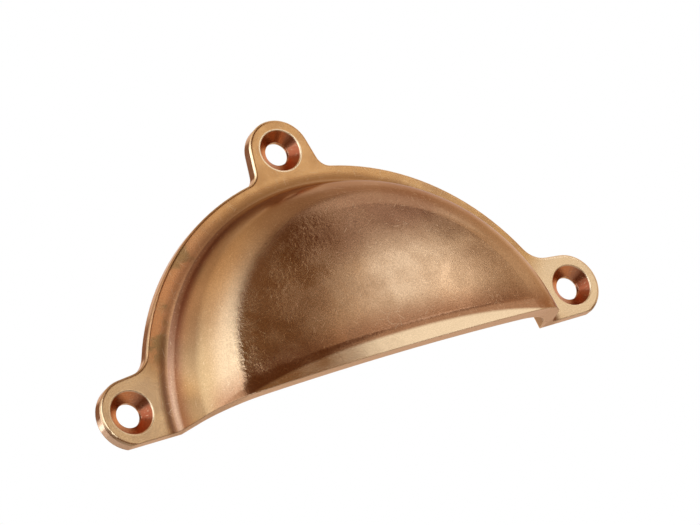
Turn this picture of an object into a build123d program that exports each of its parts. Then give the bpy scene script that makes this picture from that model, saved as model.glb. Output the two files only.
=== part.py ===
from build123d import *
import math
import os

# A cast cup pull for a drawer, in millimetres. X runs along the two lower screw holes, Y runs into
# the drawer and Z is up. The origin is on the back face, midway between the two lower screw holes.

# Screw holes. The outsets are how far their centres lie outside the round rim of the plate.
hole_spacing = 89.0
side_hole_outset = 2.4
top_hole_outset = 3.9
screw_hole_diameter = 4.3
countersink_diameter = 7.6
countersink_angle = 90.0

# Back plate. The base is cut off flat, this far above the lowest point of the side ears.
plate_thickness = 2.4
plate_centre_height = -8.9
base_cut = 0.5
plate_edge_radius = 0.45

# Side ears. The end is how far an ear runs on past its hole's centre.
side_ear_end = 5.5
side_ear_radius = 5.9
side_ear_flare = 5.7
side_ear_blend = 4.5

# Top ear
top_ear_radius = 5.75
top_ear_flare = 10.0
top_ear_blend = 2.5

# Cup, outside, inside the flat rim of the plate
rim_width = 4.5
cup_axis_height = -7.9
cup_draft = 17.5
cup_projection = 16.5
cup_crown_radius = 200.0
cup_shoulder_radius = 8.0
cup_foot_blend = 1.8

# Cup, inside, from the wall's thickness at its foot and at its front
foot_wall = 1.2
front_wall = 2.3
cavity_draft = 20.0
cavity_crown_radius = 150.0
cavity_shoulder_radius = 12.0

# Finger lip, flared from the front of the cup at its lower edge
lip_inset = 0.2
lip_flare = 1.1
lip_crown_radius = 170.0
lip_shoulder_radius = 8.5
lip_slope = 18.0
lip_height = 4.2
lip_blend = 3.0

# How far a sketch runs past the curve that trims it, and how closely two sizes count as the same
trim_allowance = 5.0
match_tolerance = 0.01

# Sizes and places that follow from those above
plate_radius = hole_spacing / 2 - side_hole_outset
base_height = base_cut - side_ear_radius
top_hole_height = plate_centre_height + plate_radius + top_hole_outset
side_ear_centre = hole_spacing / 2 + side_ear_end - side_ear_radius
cup_foot_radius = plate_radius - rim_width
cavity_mouth_radius = cup_foot_radius - foot_wall
cavity_depth = cup_projection - front_wall
lip_width = 2 * (cup_foot_radius - lip_inset)
lip_projection = cup_projection + lip_flare
front = Plane.XZ.offset(plate_thickness)
base = Plane.XY.offset(base_height)
cup_axis = Axis((0, 0, cup_axis_height), (0, 1, 0))


def ear(centre, radius, flare):
    """Tongue with a round end, widening towards the middle of the plate by the flare on each side."""
    root = (0, 0) if centre[0] == 0 else (centre[0] / 2, centre[1])
    reach = math.dist(centre, root)
    with BuildSketch(mode=Mode.PRIVATE) as tongue:
        with Locations(centre):
            Circle(radius)
        with Locations(root):
            Circle(radius + reach * math.sin(math.radians(flare)))
        make_hull()
    add(tongue.sketch)


def drafted_section(foot_width, foot_height, draft, projection, crown_radius, shoulder_radius):
    """Section with drafted walls, round shoulders and a crowned front that faces -Y."""
    wall_height = projection + trim_allowance - foot_height
    inset = wall_height * math.tan(math.radians(draft))
    Polygon(
        (inset - foot_width / 2, -foot_height - wall_height),
        (foot_width / 2 - inset, -foot_height - wall_height),
        (foot_width / 2, -foot_height),
        (-foot_width / 2, -foot_height),
        align=None,
    )
    with Locations((0, crown_radius - projection)):
        Circle(crown_radius, mode=Mode.INTERSECT)
    fillet(vertices().sort_by(Axis.Y)[:2], radius=shoulder_radius)


def on_plate_rim(vertex):
    """True for a corner on the plate's round rim, above the level of the base."""
    distance = math.dist((vertex.X, vertex.Y), (0, plate_centre_height))
    return abs(distance - plate_radius) < match_tolerance and vertex.Y > base_height


def on_cup_foot(edge):
    """True for the round edge where the cup's wall stands on the plate."""
    return edge.geom_type == GeomType.CIRCLE and abs(edge.radius - cup_foot_radius) < match_tolerance


def on_plate_outline(edge):
    """True for an edge of the plate's front that is neither on the base nor at the foot of the cup."""
    foot_radius = cup_foot_radius + cup_foot_blend
    on_foot = edge.geom_type == GeomType.CIRCLE and abs(edge.radius - foot_radius) < match_tolerance
    return not on_base(edge) and not on_foot


def on_base(edge):
    """True for an edge of the flat underside."""
    return abs((edge @ 0.5).Z - base_height) < match_tolerance


with BuildPart() as cup_pull:
    # Back plate with three ears
    with BuildSketch(Plane.XZ) as outline:
        with Locations((0, plate_centre_height)):
            Circle(plate_radius)
        ear((0, top_hole_height), top_ear_radius, top_ear_flare)
        ear((side_ear_centre, 0), side_ear_radius, side_ear_flare)
        ear((-side_ear_centre, 0), side_ear_radius, side_ear_flare)
        corners = outline.vertices().filter_by(on_plate_rim).sort_by(Axis.Y)
        fillet(corners[-2:], radius=top_ear_blend)
        corners = outline.vertices().filter_by(on_plate_rim).sort_by(Axis.Y)
        fillet(corners[:2], radius=side_ear_blend)
    extrude(amount=plate_thickness)

    # Cup, with a blend where its wall stands on the plate
    with BuildSketch(Plane.XY.offset(cup_axis_height)):
        drafted_section(
            2 * cup_foot_radius,
            plate_thickness,
            cup_draft,
            cup_projection,
            cup_crown_radius,
            cup_shoulder_radius,
        )
        split(bisect_by=Plane.YZ)
    revolve(axis=cup_axis)
    fillet(edges().filter_by(on_cup_foot), radius=cup_foot_blend)
    split(bisect_by=base, keep=Keep.TOP)

    # Rounded front edge of the plate
    plate_front = faces().filter_by(Axis.Y).sort_by(Axis.Y)[0]
    fillet(plate_front.edges().filter_by(on_plate_outline), radius=plate_edge_radius)

    # Finger lip, leaning back from its lower edge, with a soft crease where it meets the cup
    for height in (0, lip_height):
        setback = height * math.tan(math.radians(lip_slope))
        with BuildSketch(base.offset(height)):
            drafted_section(
                lip_width - 2 * setback,
                plate_thickness,
                cup_draft,
                lip_projection - setback,
                lip_crown_radius,
                lip_shoulder_radius,
            )
    loft(ruled=True)
    crease = edges(Select.NEW).filter_by(on_base, reverse=True)
    fillet(crease, radius=lip_blend)

    # Hollow of the cup, open at the back and below
    with BuildSketch(Plane.XY.offset(cup_axis_height)):
        drafted_section(
            2 * cavity_mouth_radius,
            0,
            cavity_draft,
            cavity_depth,
            cavity_crown_radius,
            cavity_shoulder_radius,
        )
        split(bisect_by=Plane.YZ)
    revolve(axis=cup_axis, mode=Mode.SUBTRACT)

    # Countersunk screw holes
    for x, z in ((-hole_spacing / 2, 0), (hole_spacing / 2, 0), (0, top_hole_height)):
        with Locations(front * Location((x, z, 0))):
            CounterSinkHole(
                radius=screw_hole_diameter / 2,
                counter_sink_radius=countersink_diameter / 2,
                counter_sink_angle=countersink_angle,
            )

cup_pull.part.label = "cup_pull"
os.makedirs("parts", exist_ok=True)
export_step(cup_pull.part, "parts/cup_pull.step")
print(f"{len(cup_pull.solids())} solid, {cup_pull.part.volume / 1000:.2f} cm3")
print("size", cup_pull.part.bounding_box())
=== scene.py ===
import math

import bpy
from mathutils import Matrix, Vector

# Looks of a cast brass cup pull, in the frame of the solid: X along the lower screw holes, Y into
# the drawer and Z up, with the origin on the back face midway between the lower holes. The camera
# and the studio are in metres, and the places and marks on the metal in millimetres.

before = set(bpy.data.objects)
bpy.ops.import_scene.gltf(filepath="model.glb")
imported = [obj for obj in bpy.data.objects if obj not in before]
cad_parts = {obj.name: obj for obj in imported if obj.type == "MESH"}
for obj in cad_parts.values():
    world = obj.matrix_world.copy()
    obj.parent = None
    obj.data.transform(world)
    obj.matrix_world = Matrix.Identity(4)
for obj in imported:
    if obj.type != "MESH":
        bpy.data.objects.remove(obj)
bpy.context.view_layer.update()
bpy.context.scene.view_settings.view_transform = "Standard"
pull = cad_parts["cup_pull"]
mm = 0.001

# Camera
camera_place = Vector((-0.27747, -0.49131, -0.10537))
camera_target = Vector((0.00106, -0.00817, 0.01321))
camera_roll = math.radians(-22.22)
camera_lens = 172.74
camera_clip_start = 0.01


def add_camera():
    """Camera that looks up at the pull from its lower left."""
    data = bpy.data.cameras.new("camera")
    data.lens = camera_lens
    data.clip_start = camera_clip_start
    camera = bpy.data.objects.new("camera", data)
    turn = (camera_target - camera_place).to_track_quat("-Z", "Y").to_matrix()
    turn = turn @ Matrix.Rotation(camera_roll, 3, "Z")
    camera.matrix_world = Matrix.Translation(camera_place) @ turn.to_4x4()
    bpy.context.scene.collection.objects.link(camera)
    bpy.context.scene.camera = camera


# Floor and surroundings
floor_level = -0.8
floor_reach = 4.0
floor_colour = (0.8, 0.79, 0.77, 1)
floor_roughness = 0.7
diffuse_level = 0.85

# Glowing panels, each a patch of a sphere round the pull: name, bottom edge and top edge as a first
# azimuth, a last azimuth and an elevation in degrees, radius, colour, and brightness with 1 as white
panels = (
    ("curtain", (-150, 134, -40), (-150, 134, 60), 1.5, (0.20, 0.102, 0.050), 1.0),
    ("roof", (-180, 180, 55), (-180, 180, 90), 1.45, (1.0, 0.74, 0.50), 0.5),
    ("left_back_wall", (-180, -125, 15), (-180, -125, 55), 1.4, (1.0, 0.62, 0.42), 0.30),
    ("ceiling", (-170, -10, 50), (-170, -40, 85), 1.3, (1.0, 0.76, 0.52), 0.95),
    ("right_wall", (46, 108, -15), (48, 108, 32), 1.3, (1.0, 0.82, 0.70), 0.74),
    ("far_right_wall", (104, 136, -10), (108, 136, 62), 1.2, (0.88, 0.92, 1.10), 1.25),
    ("upper_right_wall", (64, 108, 30), (64, 108, 62), 1.25, (1.0, 0.84, 0.74), 0.8),
    ("upper_light", (30, 68, 25.6), (34, 68, 52), 1.1, (0.98, 0.95, 0.96), 1.05),
    ("left_light", (-160, 12, 0), (-112, -20, 46), 1.0, (0.90, 1.02, 1.18), 2.4),
    ("low_light", (20, 42, -2), (20, 42, 12.3), 1.0, (1.0, 0.92, 0.84), 0.9),
    ("key_halo", (19, 46, 13), (29, 41.5, 23.5), 1.05, (1.0, 0.86, 0.76), 0.9),
    ("key_light", (26, 45, 15.2), (32, 40, 22.5), 1.0, (0.94, 1.04, 1.24), 1.55),
    ("key_corner", (39, 44.8, 14.8), (38, 42.5, 18.0), 0.95, (1.0, 1.02, 1.12), 2.3),
)
panel_columns = 32
panel_rows = 12


def direction(azimuth, elevation):
    """Unit vector towards an azimuth right of -Y and an elevation above the horizon, in degrees."""
    turn = math.radians(azimuth)
    rise = math.radians(elevation)
    return Vector((math.sin(turn) * math.cos(rise), -math.cos(turn) * math.cos(rise), math.sin(rise)))


def add_stage(name, points, faces, material):
    """Piece of the studio that isn't part of the pull."""
    mesh = bpy.data.meshes.new(name)
    mesh.from_pydata(points, [], faces)
    mesh.materials.append(material)
    stage = bpy.data.objects.new(name, mesh)
    bpy.context.scene.collection.objects.link(stage)
    return stage


def glow_material(name, colour, brightness):
    """Plain light of one colour."""
    material = bpy.data.materials.new(name)
    material.use_nodes = True
    nodes = material.node_tree.nodes
    nodes.remove(nodes["Principled BSDF"])
    glow = nodes.new("ShaderNodeEmission")
    glow.inputs["Color"].default_value = (*colour, 1)
    glow.inputs["Strength"].default_value = brightness
    material.node_tree.links.new(glow.outputs["Emission"], nodes["Material Output"].inputs["Surface"])
    return material


def add_panel(name, bottom, top, radius, colour, brightness):
    """Glowing panel, out of the camera's sight."""
    points = []
    for row in range(panel_rows + 1):
        share = row / panel_rows
        first, last, elevation = (low + (high - low) * share for low, high in zip(bottom, top))
        for column in range(panel_columns + 1):
            azimuth = first + (last - first) * column / panel_columns
            points.append(direction(azimuth, elevation) * radius)
    faces = []
    across = panel_columns + 1
    for row in range(panel_rows):
        for column in range(panel_columns):
            corner = row * across + column
            faces.append((corner, corner + 1, corner + across + 1, corner + across))
    panel = add_stage(name, points, faces, glow_material(name, colour, brightness))
    panel.visible_camera = False


def add_floor():
    """Pale floor."""
    material = bpy.data.materials.new("floor")
    material.use_nodes = True
    shader = material.node_tree.nodes["Principled BSDF"]
    shader.inputs["Base Color"].default_value = floor_colour
    shader.inputs["Roughness"].default_value = floor_roughness
    signs = ((-1, -1), (1, -1), (1, 1), (-1, 1))
    corners = [(x * floor_reach, y * floor_reach, floor_level) for x, y in signs]
    add_stage("floor", corners, [(0, 1, 2, 3)], material)


def add_world():
    """White surroundings for the camera and in reflections, dimmer for diffuse light."""
    world = bpy.data.worlds.new("surroundings")
    world.use_nodes = True
    bpy.context.scene.world = world
    nodes = world.node_tree.nodes
    links = world.node_tree.links
    rays = nodes.new("ShaderNodeLightPath")
    seen = rays.outputs["Is Camera Ray"]
    for kind in ("Is Glossy Ray", "Is Transmission Ray"):
        either = nodes.new("ShaderNodeMath")
        either.operation = "MAXIMUM"
        links.new(seen, either.inputs[0])
        links.new(rays.outputs[kind], either.inputs[1])
        seen = either.outputs[0]
    strength = nodes.new("ShaderNodeMapRange")
    strength.inputs["To Min"].default_value = diffuse_level
    strength.inputs["To Max"].default_value = 1.0
    links.new(seen, strength.inputs["Value"])
    background = nodes["Background"]
    background.inputs["Color"].default_value = (1, 1, 1, 1)
    links.new(strength.outputs["Result"], background.inputs["Strength"])


add_camera()
add_floor()
add_world()
for panel in panels:
    add_panel(*panel)


class Nodes:
    """Short ways to add nodes to one material. Sockets and plain values can stand for each other."""

    def __init__(self, material):
        self.nodes = material.node_tree.nodes
        self.links = material.node_tree.links
        self.geometry = self.nodes.new("ShaderNodeNewGeometry")
        coordinates = self.nodes.new("ShaderNodeTexCoord")
        scale = self.nodes.new("ShaderNodeVectorMath")
        scale.operation = "SCALE"
        scale.inputs["Scale"].default_value = 1 / mm
        self.feed(scale.inputs[0], coordinates.outputs["Object"])
        self.position = scale.outputs["Vector"]

    def feed(self, socket, value):
        """Link a socket, or set its value."""
        if isinstance(value, bpy.types.NodeSocket):
            self.links.new(value, socket)
        elif value is not None:
            socket.default_value = value

    def split(self, vector):
        """The X, Y and Z of a vector."""
        node = self.nodes.new("ShaderNodeSeparateXYZ")
        self.feed(node.inputs[0], vector)
        return node.outputs

    def math(self, operation, first, second=None):
        node = self.nodes.new("ShaderNodeMath")
        node.operation = operation
        self.feed(node.inputs[0], first)
        self.feed(node.inputs[1], second)
        return node.outputs[0]

    def times(self, *factors):
        """Product of masks."""
        result = factors[0]
        for factor in factors[1:]:
            result = self.math("MULTIPLY", result, factor)
        return result

    def flipped(self, mask):
        return self.math("SUBTRACT", 1.0, mask)

    def ramp(self, value, start, end, low=0.0, high=1.0):
        """Smooth step from low at the start to high at the end."""
        node = self.nodes.new("ShaderNodeMapRange")
        node.interpolation_type = "SMOOTHSTEP"
        self.feed(node.inputs["Value"], value)
        for name, number in (("From Min", start), ("From Max", end), ("To Min", low), ("To Max", high)):
            node.inputs[name].default_value = number
        return node.outputs["Result"]

    def band(self, value, start, full, fade, end):
        """Mask that rises from the start, is full up to the fade and gone at the end."""
        return self.times(self.ramp(value, start, full), self.ramp(value, end, fade))

    def mix(self, mask, below, above):
        """Number that goes from below to above with the mask."""
        return self.blend("FLOAT", "MIX", mask, below, above)

    def colour(self, mask, below, above):
        """Colour that goes from below to above with the mask."""
        return self.blend("RGBA", "MIX", mask, below, above)

    def layer(self, below, above, mask, strength=1.0):
        """Colour above laid on the colour below where the mask is."""
        return self.colour(self.times(mask, strength), below, above)

    def tint(self, colour, tint):
        """Product of two colours."""
        return self.blend("RGBA", "MULTIPLY", 1.0, colour, tint)

    def blend(self, kind, way, mask, below, above):
        node = self.nodes.new("ShaderNodeMix")
        node.data_type = kind
        node.blend_type = way
        self.feed(node.inputs["Factor"], mask)
        self.feed(node.inputs["A"], below)
        self.feed(node.inputs["B"], above)
        return node.outputs["Result"]

    def noise(self, size, detail):
        """Noise between 0 and 1 whose spots are about this many millimetres wide."""
        return self.noise_over(self.position, 1 / size, detail)

    def streaks(self, turn, size, detail):
        """Noise whose spots are this long along X, Y and Z, then turned about Y."""
        node = self.nodes.new("ShaderNodeMapping")
        node.vector_type = "TEXTURE"
        node.inputs["Rotation"].default_value = (0, turn, 0)
        node.inputs["Scale"].default_value = size
        self.feed(node.inputs["Vector"], self.position)
        return self.noise_over(node.outputs["Vector"], 1.0, detail)

    def noise_over(self, vector, scale, detail):
        node = self.nodes.new("ShaderNodeTexNoise")
        node.inputs["Scale"].default_value = scale
        node.inputs["Detail"].default_value = detail
        self.feed(node.inputs["Vector"], vector)
        return node.outputs["Fac"]


# Places on the solid, in millimetres. The crease above the lip droops towards its ends by a square
# and a fourth power of X.
hole_centres = ((-44.5, 0.0), (44.5, 0.0), (0.0, 37.1))
countersink_radius = 3.8
plate_thickness = 2.4
cup_axis_height = -7.9
cup_foot_radius = 37.6
crease_height = -2.0
crease_bow = 0.0018
crease_droop = 0.0000016


def distance(nodes, x, z, centre_x, centre_z):
    """Distance from the axis along Y through a centre."""
    across = nodes.math("SUBTRACT", x, centre_x)
    up = nodes.math("SUBTRACT", z, centre_z)
    return nodes.math("SQRT", nodes.math("ADD", nodes.times(across, across), nodes.times(up, up)))


def add_side_places(nodes, places):
    """Masks for the sides of the pull."""
    x, y, z = nodes.split(nodes.position)
    places["left"] = nodes.ramp(x, -5.0, -20.0)
    # Strength of the painted highlight on the side ears, rising to the right.
    places["right"] = nodes.ramp(x, -45.0, 45.0, 0.55, 1.0)
    places["high"] = nodes.ramp(z, 0.0, 16.0)
    places["top"] = nodes.ramp(z, 24.0, 30.0)


def add_cup_places(nodes, places):
    """Masks for the cup: its foot, with a painted reflection and painted shade, the gutter round it with
    painted
     shade, its wall, the left wall's root with painted shade, the left shoulder with a painted highlight
     and its ragged border, its upper part with painted shade, and its front."""
    x, y, z = nodes.split(nodes.position)
    depth = nodes.math("MULTIPLY", y, -1.0)
    radius = distance(nodes, x, z, 0.0, cup_axis_height)
    foot = cup_foot_radius
    places["cup"] = nodes.times(
        nodes.ramp(radius, foot + 0.6, foot - 0.2),
        nodes.ramp(depth, plate_thickness + 0.4, plate_thickness + 2.0),
    )
    places["foot"] = nodes.times(
        nodes.band(radius, foot - 1.6, foot - 0.4, foot + 0.3, foot + 0.6),
        nodes.ramp(depth, 8.0, 4.5),
    )
    places["gutter"] = nodes.band(radius, foot, foot + 0.6, foot + 0.9, foot + 2.6)
    places["wall"] = nodes.times(nodes.ramp(radius, 29.0, 32.5), nodes.ramp(depth, 2.5, 3.5))
    places["root"] = nodes.times(places["wall"], places["left"], nodes.ramp(radius, 32.2, 35.0))
    places["shoulder"] = nodes.times(
        nodes.band(radius, 26.2, 29.5, 32.0, 34.5),
        nodes.ramp(z, 20.0, 8.0),
        nodes.ramp(x, 0.0, -15.0),
    )
    places["ragged"] = nodes.times(
        nodes.band(radius, 22.5, 25.0, 28.5, 32.0),
        nodes.ramp(x, 0.0, -10.0),
    )
    places["upper"] = nodes.times(nodes.ramp(z, 9.5, 18.0), nodes.ramp(x, -20.0, -6.0))
    places["front"] = nodes.ramp(radius, 34.5, 31.0)


def add_lip_places(nodes, places):
    """Masks for the lip, the crease above it with a band of painted shade, and the patina, which covers
    the rest of the front.
    """
    x, y, z = nodes.split(nodes.position)
    square = nodes.times(x, x)
    droop = nodes.times(square, nodes.math("ADD", crease_bow, nodes.times(square, crease_droop)))
    above = nodes.math("ADD", nodes.math("SUBTRACT", z, crease_height), droop)
    forward = nodes.ramp(y, -8.5, -12.5)
    places["crease"] = nodes.times(forward, nodes.ramp(above, 6.0, 0.4))
    places["lip"] = nodes.times(forward, nodes.ramp(above, -0.3, -1.0))
    places["patina"] = nodes.times(places["cup"], nodes.flipped(places["lip"]), places["front"])


def add_hole_places(nodes, places):
    """Masks for the countersinks, their painted sheen and painted shade and their rims, which get a
    painted
     highlight, for the side ears, which get a painted highlight, and for the left rim of the plate, which
     is clear of the ears and gets painted shade."""
    x, y, z = nodes.split(nodes.position)
    depth = nodes.math("MULTIPLY", y, -1.0)
    normal_x, normal_y, normal_z = nodes.split(nodes.geometry.outputs["True Normal"])
    nearest = distance(nodes, x, z, *hole_centres[0])
    for centre in hole_centres[1:]:
        nearest = nodes.math("MINIMUM", nearest, distance(nodes, x, z, *centre))
    rim = countersink_radius
    places["countersink"] = nodes.times(
        nodes.ramp(nearest, rim + 0.05, rim - 0.05),
        nodes.ramp(depth, 0.1, 0.3),
    )
    places["sheen"] = nodes.ramp(nodes.math("SUBTRACT", normal_x, normal_z), -0.15, 0.75)
    places["shade"] = nodes.ramp(nodes.math("SUBTRACT", normal_z, normal_x), 0.10, 0.85)
    places["hole_rim"] = nodes.times(
        nodes.band(nearest, rim - 0.2, rim, rim + 0.1, rim + 0.3),
        nodes.ramp(depth, plate_thickness - 0.6, plate_thickness - 0.2),
    )
    places["ears"] = nodes.times(nodes.ramp(nearest, 10.5, 5.0), nodes.ramp(z, 20.0, 10.0))
    places["left_rim"] = nodes.times(
        nodes.ramp(x, -8.0, -26.0),
        nodes.ramp(nearest, 7.5, 12.5),
        nodes.ramp(depth, plate_thickness + 1.0, plate_thickness + 0.2),
    )


def add_face_places(nodes, places):
    """Masks for the plate's rounded edge and its side, the underside and the inside of the cup, which
    gets painted shade.
    """
    x, y, z = nodes.split(nodes.position)
    depth = nodes.math("MULTIPLY", y, -1.0)
    radius = distance(nodes, x, z, 0.0, cup_axis_height)
    normal_x, normal_y, normal_z = nodes.split(nodes.geometry.outputs["True Normal"])
    places["plate_edge"] = nodes.times(
        nodes.band(normal_y, -0.97, -0.80, -0.25, -0.05),
        nodes.ramp(depth, plate_thickness + 0.3, plate_thickness + 0.1),
    )
    places["plate_side"] = nodes.times(
        nodes.ramp(normal_y, -0.25, -0.05),
        nodes.ramp(depth, plate_thickness, plate_thickness - 0.3),
        nodes.ramp(radius, cup_foot_radius - 0.4, cup_foot_radius),
    )
    places["underside"] = nodes.ramp(normal_z, -0.90, -0.97)
    places["inside"] = nodes.times(nodes.ramp(normal_y, 0.05, 0.2), nodes.ramp(depth, 0.2, 0.8))


# Rounding of the small edges
edge_radius = 0.28 * mm
edge_samples = 6


def rounded_edges(nodes, places):
    """Normal with the small edges rounded, and a mask for those edges."""
    rounded = nodes.nodes.new("ShaderNodeBevel")
    rounded.samples = edge_samples
    rounded.inputs["Radius"].default_value = edge_radius
    likeness = nodes.nodes.new("ShaderNodeVectorMath")
    likeness.operation = "DOT_PRODUCT"
    nodes.feed(likeness.inputs[0], rounded.outputs["Normal"])
    nodes.feed(likeness.inputs[1], nodes.geometry.outputs["Normal"])
    places["edge"] = nodes.ramp(likeness.outputs["Value"], 0.985, 0.90)
    return rounded.outputs["Normal"]


# Marks of the metal, by their size in millimetres
mottle_size = 12.0
smudge_size = 6.0
pit_patch_size = 6.0
swell_size = 4.5
cloud_size = 3.5
dent_size = 1.2
pit_size = 0.8
rag_size = 0.8
grain_size = 0.22
brush_mark = (3.0, 0.25, 0.25)
brush_turn = 0.12
hairline = (2.0, 0.52, 0.13)
hairline_turns = (0.2, 0.9, 1.7, 2.5)


def wear_marks(nodes):
    """Patterns that the colour, the gloss and the relief share."""
    grain = nodes.noise(grain_size, 2.0)
    scratches = 0.0
    for turn in hairline_turns:
        scratch = nodes.ramp(nodes.streaks(turn, hairline, 0.0), 0.76, 0.84)
        scratches = nodes.math("MAXIMUM", scratches, scratch)
    return {
        "mottle": nodes.ramp(nodes.noise(mottle_size, 3.0), 0.35, 0.65),
        "cloud": nodes.ramp(nodes.noise(cloud_size, 2.5), 0.35, 0.68),
        "smudge": nodes.ramp(nodes.noise(smudge_size, 4.0), 0.56, 0.66),
        "grain": grain,
        "light_grain": nodes.ramp(grain, 0.30, 0.70),
        "brushing": nodes.streaks(brush_turn, brush_mark, 2.0),
        "scratches": scratches,
        "pits": nodes.times(
            nodes.ramp(nodes.noise(pit_size, 2.0), 0.66, 0.74),
            nodes.ramp(nodes.noise(pit_patch_size, 1.0), 0.50, 0.65),
        ),
    }


# Colours of the metal, and of the shade, reflections and highlights painted on it
bare_brass_and_highlight = (0.88, 0.67, 0.42, 1)
plate_gold = (0.64, 0.38, 0.16, 1)
plate_brown = (0.42, 0.22, 0.10, 1)
plate_painted_reflection = (0.56, 0.29, 0.105, 1)
left_rim_painted_shade = (0.64, 0.30, 0.13, 1)
smudge_olive = (0.27, 0.19, 0.08, 1)
dome_brown = (0.60, 0.385, 0.21, 1)
dome_dark = (0.50, 0.30, 0.155, 1)
dome_top_painted_shade = (0.36, 0.185, 0.10, 1)
left_wall_painted_shade = (0.44, 0.27, 0.12, 1)
gutter_painted_shade = (0.20, 0.060, 0.022, 1)
foot_painted_reflection = (0.36, 0.18, 0.125, 1)
pit_and_foot_shade_brown = (0.22, 0.10, 0.055, 1)
crease_painted_shade = (0.33, 0.14, 0.065, 1)
countersink_copper = (0.42, 0.17, 0.085, 1)
countersink_painted_sheen = (0.72, 0.27, 0.10, 1)
countersink_painted_shade = (0.24, 0.062, 0.026, 1)
side_pink = (0.74, 0.50, 0.35, 1)
cut_pink = (0.74, 0.50, 0.32, 1)
hollow_painted_shade = (0.28, 0.16, 0.09, 1)
edge_brown = (0.50, 0.31, 0.17, 1)
grazing_tint = (0.80, 0.58, 0.44, 1)

# Tints of the grain, dark and light, strong on the patina and faint on the rest
strong_grain = ((0.85, 0.84, 0.82, 1), (1.10, 1.10, 1.10, 1))
faint_grain = ((0.93, 0.93, 0.92, 1), (1.05, 1.05, 1.05, 1))


def plate_colour(nodes, places, wear):
    """Gold, with painted shade browning the left rim and smudges on it, a painted reflection in orange at
    the top and a painted highlight on the side ears, strongest on the right.
    """
    colour = nodes.layer(plate_gold, plate_brown, wear["cloud"], 0.55)
    unclouded = nodes.ramp(wear["cloud"], 0, 1, 0.95, 0.7)
    # Painted shade on the plate's left rim.
    colour = nodes.layer(colour, left_rim_painted_shade, places["left_rim"], unclouded)
    colour = nodes.layer(colour, smudge_olive, nodes.times(places["left_rim"], wear["smudge"]), 0.7)
    # Painted reflection of the cup wall: orange at the top of the plate.
    colour = nodes.layer(colour, plate_painted_reflection, places["top"], 0.8)
    # Painted highlight on the side ears, strongest on the right.
    return nodes.layer(colour, bare_brass_and_highlight, places["ears"], places["right"])


def dome_colour(nodes, places, wear):
    """Mottled brown patina, with painted shade in the upper part."""
    colour = nodes.colour(wear["mottle"], dome_dark, dome_brown)
    unmottled = nodes.ramp(wear["mottle"], 0, 1, 1.0, 0.8)
    # Painted shade on the dome's upper part.
    return nodes.layer(colour, dome_top_painted_shade, places["upper"], unmottled)


def countersink_colour(nodes, places):
    """Copper red, with painted sheen in orange where the cone faces right and down and painted shade
    where it faces left and up.
    """
    colour = nodes.colour(places["sheen"], countersink_copper, countersink_painted_sheen)
    return nodes.layer(colour, countersink_painted_shade, places["shade"])


def brass_colour(nodes, places, wear):
    """Colours of the plate and the cup, then of their recesses, cut faces, marks and worn edges, with
    painted shade, reflections and highlights laid among them.
    """
    plate = plate_colour(nodes, places, wear)
    colour = nodes.colour(places["cup"], plate, dome_colour(nodes, places, wear))
    # Painted shade on the root of the left wall, stronger low down.
    colour = nodes.layer(colour, left_wall_painted_shade, places["root"], nodes.mix(places["high"], 0.75, 0.25))
    # Painted highlight on the left shoulder.
    colour = nodes.layer(colour, bare_brass_and_highlight, places["shoulder"], 0.25)
    # Painted shade in the gutter round the cup's foot, stronger low down.
    colour = nodes.layer(colour, gutter_painted_shade, places["gutter"], nodes.mix(places["high"], 0.85, 0.35))
    # Foot: painted reflection in pink low down and painted shade in brown higher up, strongest on the
    # left.
    foot = nodes.colour(places["high"], foot_painted_reflection, pit_and_foot_shade_brown)
    high_foot = nodes.mix(places["left"], 0.3, 0.95)
    colour = nodes.layer(colour, foot, places["foot"], nodes.mix(places["high"], 0.6, high_foot))
    # Painted shade in a band above the crease over the lip, darkest at the crease.
    colour = nodes.layer(colour, crease_painted_shade, places["crease"], 0.75)
    colour = nodes.layer(colour, bare_brass_and_highlight, places["lip"])
    # Painted shade inside the cup.
    colour = nodes.layer(colour, hollow_painted_shade, places["inside"])
    colour = nodes.layer(colour, side_pink, places["plate_side"])
    # Worn edges: bare metal, with a painted highlight that makes them brighter on the right than on the
    # left.
    worn_and_highlit_edge = nodes.colour(places["left"], bare_brass_and_highlight, edge_brown)
    colour = nodes.layer(colour, worn_and_highlit_edge, places["plate_edge"], 0.9)
    # Countersinks with painted sheen and painted shade.
    colour = nodes.layer(colour, countersink_colour(nodes, places), places["countersink"])
    # Painted highlight on the countersinks' rims.
    colour = nodes.layer(colour, bare_brass_and_highlight, places["hole_rim"])
    colour = nodes.layer(colour, cut_pink, places["underside"])
    outside = nodes.flipped(places["inside"])
    colour = nodes.layer(colour, bare_brass_and_highlight, nodes.times(wear["scratches"], outside), 0.25)
    # Dark pits in the patina share the brown of the foot's painted shade.
    colour = nodes.layer(colour, pit_and_foot_shade_brown, nodes.times(wear["pits"], places["patina"]), 0.5)
    colour = nodes.layer(colour, worn_and_highlit_edge, places["edge"], 0.8)
    strong = nodes.colour(wear["light_grain"], *strong_grain)
    faint = nodes.colour(wear["light_grain"], *faint_grain)
    grainy = nodes.math("MAXIMUM", places["patina"], nodes.times(places["left"], 0.7))
    return nodes.tint(colour, nodes.colour(grainy, faint, strong))


# Roughness of each place
polished_roughness = 0.15
clouded_roughness = 0.21
right_wall_roughness = 0.28
left_wall_roughness = 0.40
recess_roughness = 0.42
edge_roughness = 0.38
countersink_roughness = 0.27


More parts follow.
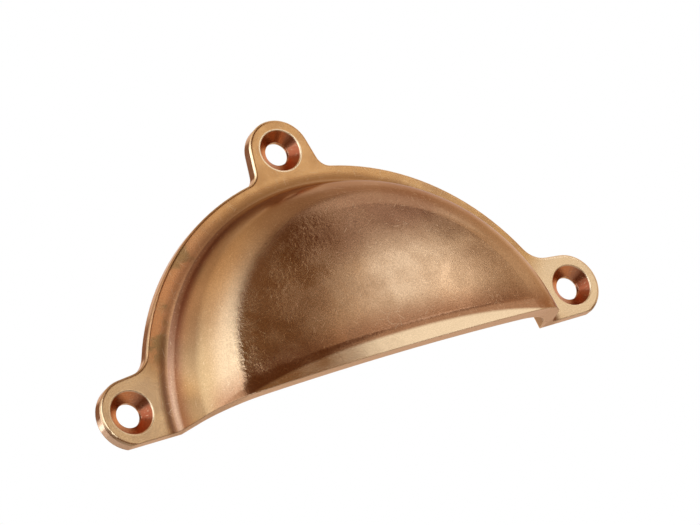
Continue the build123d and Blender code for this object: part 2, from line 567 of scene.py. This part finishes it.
def brass_roughness(nodes, places, wear):
    """Satin metal, duller on the cup's wall, in the recesses and on the edges."""
    wall = nodes.mix(places["left"], right_wall_roughness, left_wall_roughness)
    edges = nodes.math("MAXIMUM", places["plate_edge"], places["edge"])
    roughness = nodes.mix(wear["cloud"], polished_roughness, clouded_roughness)
    roughness = nodes.mix(places["wall"], roughness, wall)
    roughness = nodes.mix(places["gutter"], roughness, recess_roughness)
    roughness = nodes.mix(places["foot"], roughness, recess_roughness)
    roughness = nodes.mix(edges, roughness, edge_roughness)
    return nodes.mix(places["countersink"], roughness, countersink_roughness)


# Relief of the casting
relief_depth = 0.009 * mm
relief_strength = 0.6


def brass_relief(nodes, places, wear, rounded):
    """Normal with the casting's fine relief on it. Each pattern has a share of the relief's depth."""
    patterns = (
        (wear["grain"], nodes.mix(places["patina"], 0.15, 0.7)),
        (nodes.noise(dent_size, 2.0), 0.6),
        (nodes.noise(rag_size, 3.0), nodes.times(places["ragged"], 8.0)),
        (wear["brushing"], 0.15),
        (nodes.noise(swell_size, 3.0), 2.2),
        (wear["scratches"], -0.3),
    )
    height = 0.0
    for pattern, share in patterns:
        height = nodes.math("ADD", height, nodes.times(pattern, share))
    bump = nodes.nodes.new("ShaderNodeBump")
    bump.inputs["Strength"].default_value = relief_strength
    bump.inputs["Distance"].default_value = relief_depth
    nodes.feed(bump.inputs["Height"], height)
    nodes.feed(bump.inputs["Normal"], rounded)
    return bump.outputs["Normal"]


def make_brass():
    """Aged brass: brown patina on the cup, gold on the plate, red in the recesses, partly as painted
    shade, bare at worn edges, and painted highlights and reflections.
    """
    material = bpy.data.materials.new("brass")
    material.use_nodes = True
    nodes = Nodes(material)
    places = {}
    add_side_places(nodes, places)
    add_cup_places(nodes, places)
    add_lip_places(nodes, places)
    add_hole_places(nodes, places)
    add_face_places(nodes, places)
    rounded = rounded_edges(nodes, places)
    wear = wear_marks(nodes)
    shader = nodes.nodes["Principled BSDF"]
    shader.inputs["Metallic"].default_value = 1.0
    shader.inputs["Specular Tint"].default_value = grazing_tint
    nodes.feed(shader.inputs["Base Color"], brass_colour(nodes, places, wear))
    nodes.feed(shader.inputs["Roughness"], brass_roughness(nodes, places, wear))
    nodes.feed(shader.inputs["Normal"], brass_relief(nodes, places, wear, rounded))
    return material


pull.data.materials.clear()
pull.data.materials.append(make_brass())
